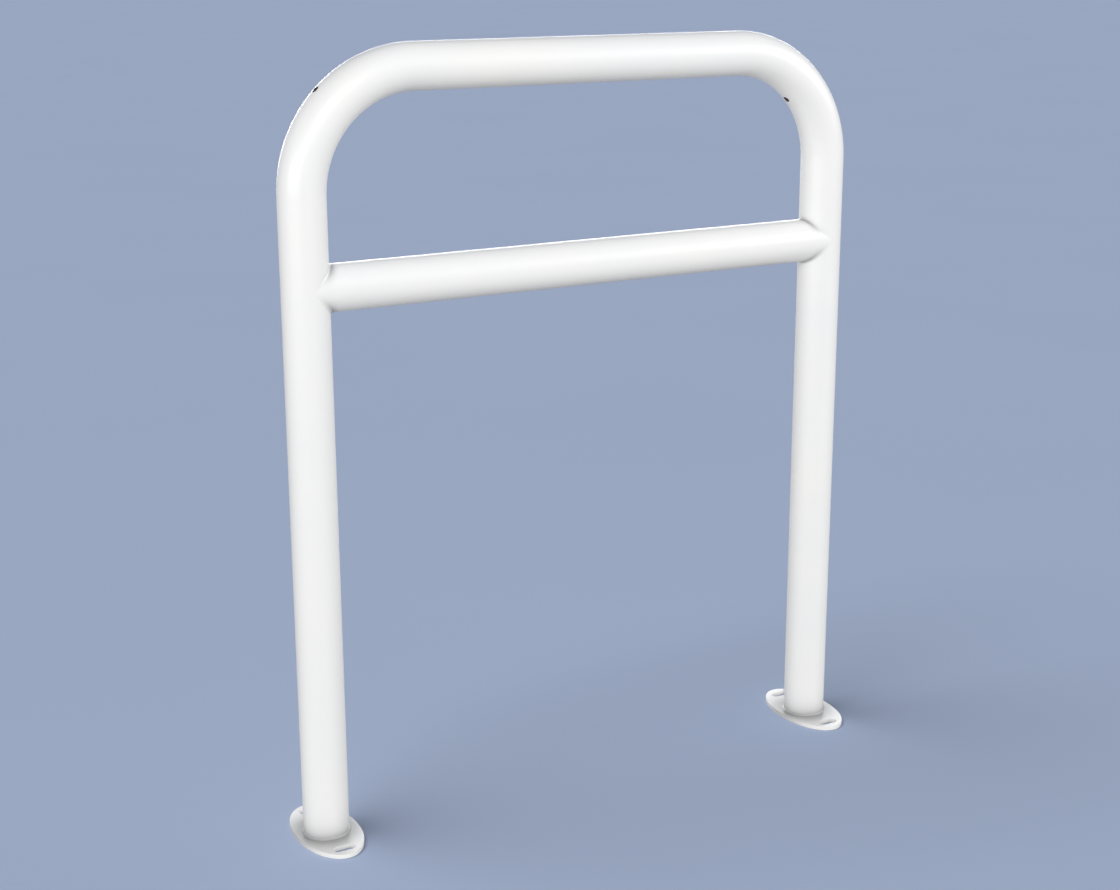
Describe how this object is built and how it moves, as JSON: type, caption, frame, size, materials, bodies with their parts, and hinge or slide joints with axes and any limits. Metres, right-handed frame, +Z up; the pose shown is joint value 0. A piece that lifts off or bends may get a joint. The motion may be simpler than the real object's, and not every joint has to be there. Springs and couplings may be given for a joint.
{
  "type": "hoop bike rack",
  "caption": "Upright hoop of bent round tube with a straight cross rail and an oval slotted base plate under each leg, for leaning and locking bicycles.",
  "frame": {"origin": "on the ground, midway between the two legs, in the plane of the hoop", "axes": "+X along the hoop from the left leg to the right leg, +Y square to the hoop, +Z up"},
  "size_m": [0.72, 0.13, 0.852],
  "materials": {
    "powder_coat": "satin white powder coat on steel"
  },
  "bodies": {
    "root": {"hoop_tube": "powder_coat", "cross_rail": "powder_coat", "left_base_plate": "powder_coat", "right_base_plate": "powder_coat", "left_foot_weld": "powder_coat", "right_foot_weld": "powder_coat", "left_rail_weld": "powder_coat", "right_rail_weld": "powder_coat"}
  },
  "joints": []
}
